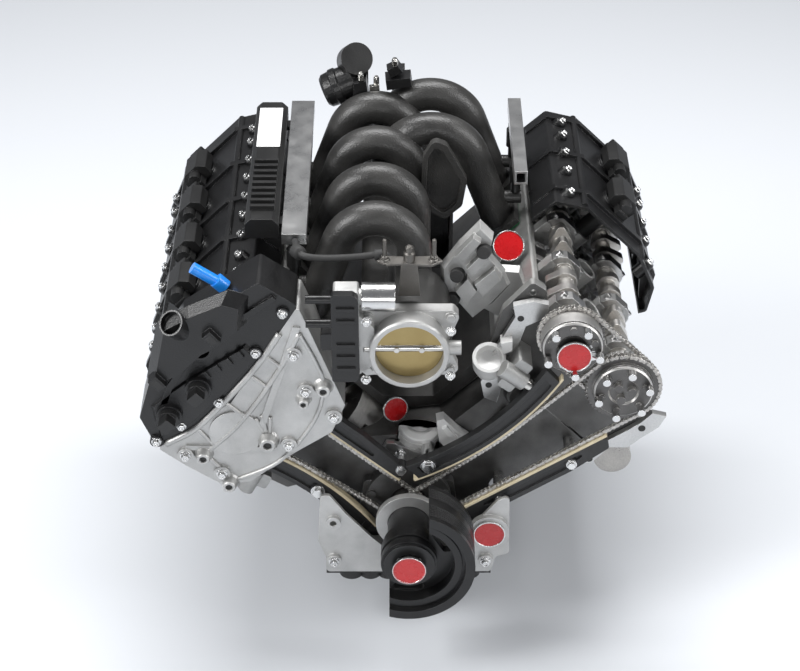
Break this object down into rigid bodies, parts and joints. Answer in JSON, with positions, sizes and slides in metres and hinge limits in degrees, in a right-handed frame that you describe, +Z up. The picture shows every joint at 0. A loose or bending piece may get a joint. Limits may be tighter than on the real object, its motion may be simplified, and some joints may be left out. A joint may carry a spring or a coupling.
{
  "type": "v8 engine",
  "caption": "Cut-away V8 engine with twin-cam heads, chain drive, arched intake runners, throttle body and crank damper.",
  "frame": {"origin": "centre of the crankshaft rear flange face, on the crank axis", "axes": "+Z up, +Y rearwards along the crank axis, so the front of the engine faces -Y; +X towards the left bank as seen from the driver seat"},
  "size_m": [0.6953, 0.633, 0.6637],
  "materials": {
    "aluminium": "sand-cast, machined on joint faces",
    "steel": "ground and machined",
    "black_composite": "glass-filled composite, fine grain",
    "black_painted": "satin black paint",
    "brass_tone": "brushed, gold tone",
    "gasket_green": "moulded seal",
    "gasket_steel": "layered steel",
    "disc_red": "gloss red with a bright rim"
  },
  "bodies": {
    "engine": {"cam_caps": "aluminium", "cam_chain_left": "steel", "cam_chain_right": "steel", "cam_cover_left": "black_composite", "cam_cover_right": "black_composite", "chain_guides": "black_composite", "control_module": "black_composite", "cover_fittings": "black_composite", "cylinder_head_left": "aluminium", "cylinder_head_right": "aluminium", "display_discs": "disc_red", "engine_block": "aluminium", "exhaust_header": "steel", "front_cover_lower": "aluminium", "front_cover_right": "aluminium", "fuel_rails": "aluminium", "head_gaskets": "gasket_steel", "ignition_coils": "black_composite", "injectors": "black_composite", "intake_manifold": "black_composite", "main_bearings": "aluminium", "manifold_fittings": "black_composite", "manifold_gaskets": "gasket_green", "oil_pan": "black_composite", "oil_pump": "aluminium", "tensioner_bodies": "aluminium", "throttle_actuator": "black_composite", "throttle_body": "aluminium", "timing_chain_left": "steel", "timing_chain_right": "steel", "valve_gear_left_exhaust": "steel", "valve_gear_left_intake": "steel", "valve_gear_right_exhaust": "steel", "valve_gear_right_intake": "steel"},
    "crankshaft": {"crankshaft": "steel", "crank_sprocket": "steel", "damper_hub": "black_painted", "damper_ring": "black_painted", "crank_bolt": "steel"},
    "cam_left_intake": {"camshaft_left_intake": "steel", "phaser_left_intake": "steel"},
    "cam_left_exhaust": {"camshaft_left_exhaust": "steel", "phaser_left_exhaust": "steel"},
    "cam_right_intake": {"camshaft_right_intake": "steel", "phaser_right_intake": "steel"},
    "cam_right_exhaust": {"camshaft_right_exhaust": "steel", "phaser_right_exhaust": "steel"},
    "throttle": {"throttle_plate": "brass_tone"},
    "arm_left": {"tensioner_arm_left": "black_composite"},
    "arm_right": {"tensioner_arm_right": "black_composite"},
    "plunger_left": {"tensioner_plunger_left": "steel"},
    "plunger_right": {"tensioner_plunger_right": "steel"},
    "pistons_left_first": {"pistons_left_first": "aluminium", "rods_left_first": "steel"},
    "pistons_left_second": {"pistons_left_second": "aluminium", "rods_left_second": "steel"},
    "pistons_right_first": {"pistons_right_first": "aluminium", "rods_right_first": "steel"},
    "pistons_right_second": {"pistons_right_second": "aluminium", "rods_right_second": "steel"}
  },
  "joints": [
    {"name": "crank_spin", "type": "hinge", "parent": "engine", "child": "crankshaft", "pos_m": [0, -0.2, 0], "axis": [0, 1, 0], "continuous": true, "deforming": ["timing_chain_left", "timing_chain_right", "cam_chain_left", "cam_chain_right"]},
    {"name": "cam_left_intake_spin", "type": "hinge", "parent": "engine", "child": "cam_left_intake", "pos_m": [0.20881, -0.25, 0.27726], "axis": [0, 1, 0], "continuous": true, "deforming": ["valve_gear_left_intake"]},
    {"name": "cam_left_exhaust_spin", "type": "hinge", "parent": "engine", "child": "cam_left_exhaust", "pos_m": [0.27726, -0.25, 0.20881], "axis": [0, 1, 0], "continuous": true, "deforming": ["valve_gear_left_exhaust"]},
    {"name": "cam_right_intake_spin", "type": "hinge", "parent": "engine", "child": "cam_right_intake", "pos_m": [-0.20881, -0.25, 0.27726], "axis": [0, 1, 0], "continuous": true, "deforming": ["valve_gear_right_intake"]},
    {"name": "cam_right_exhaust_spin", "type": "hinge", "parent": "engine", "child": "cam_right_exhaust", "pos_m": [-0.27726, -0.25, 0.20881], "axis": [0, 1, 0], "continuous": true, "deforming": ["valve_gear_right_exhaust"]},
    {"name": "stroke_left_first", "type": "slide", "parent": "engine", "child": "pistons_left_first", "axis": [0.7071, 0, 0.7071], "range_m": [-0.03915, 0.05385], "deforming": ["rods_left_first"]},
    {"name": "stroke_left_second", "type": "slide", "parent": "engine", "child": "pistons_left_second", "axis": [0.7071, 0, 0.7071], "range_m": [-0.03915, 0.05385], "deforming": ["rods_left_second"]},
    {"name": "stroke_right_first", "type": "slide", "parent": "engine", "child": "pistons_right_first", "axis": [-0.7071, 0, 0.7071], "range_m": [0, 0.093], "deforming": ["rods_right_first"]},
    {"name": "stroke_right_second", "type": "slide", "parent": "engine", "child": "pistons_right_second", "axis": [-0.7071, 0, 0.7071], "range_m": [-0.093, 0], "deforming": ["rods_right_second"]},
    {"name": "throttle_turn", "type": "hinge", "parent": "engine", "child": "throttle", "pos_m": [0, -0.534, 0.286], "axis": [1, 0, 0], "range_deg": [0, 82]},
    {"name": "tensioner_left_swing", "type": "hinge", "parent": "engine", "child": "arm_left", "pos_m": [0.02532, -0.512, 0.08557], "axis": [0, -1, 0], "range_deg": [0, 1.2]},
    {"name": "tensioner_left_plunge", "type": "slide", "parent": "engine", "child": "plunger_left", "axis": [-0.8023, 0, 0.597], "range_m": [0, 0.00384]},
    {"name": "tensioner_right_swing", "type": "hinge", "parent": "engine", "child": "arm_right", "pos_m": [-0.1219, -0.498, 0.03215], "axis": [0, -1, 0], "range_deg": [0, 1.2]},
    {"name": "tensioner_right_plunge", "type": "slide", "parent": "engine", "child": "plunger_right", "axis": [-0.472, 0, -0.8816], "range_m": [0, 0.00191]}
  ],
  "couplings": [
    {"joint": "cam_left_intake_spin", "follows": "crank_spin", "ratio": 0.5},
    {"joint": "cam_left_exhaust_spin", "follows": "crank_spin", "ratio": 0.5},
    {"joint": "cam_right_intake_spin", "follows": "crank_spin", "ratio": 0.5},
    {"joint": "cam_right_exhaust_spin", "follows": "crank_spin", "ratio": 0.5},
    {"joint": "tensioner_left_plunge", "follows": "tensioner_left_swing", "m_per_rad": 0.17847},
    {"joint": "tensioner_right_plunge", "follows": "tensioner_right_swing", "m_per_rad": 0.0864}
  ]
}
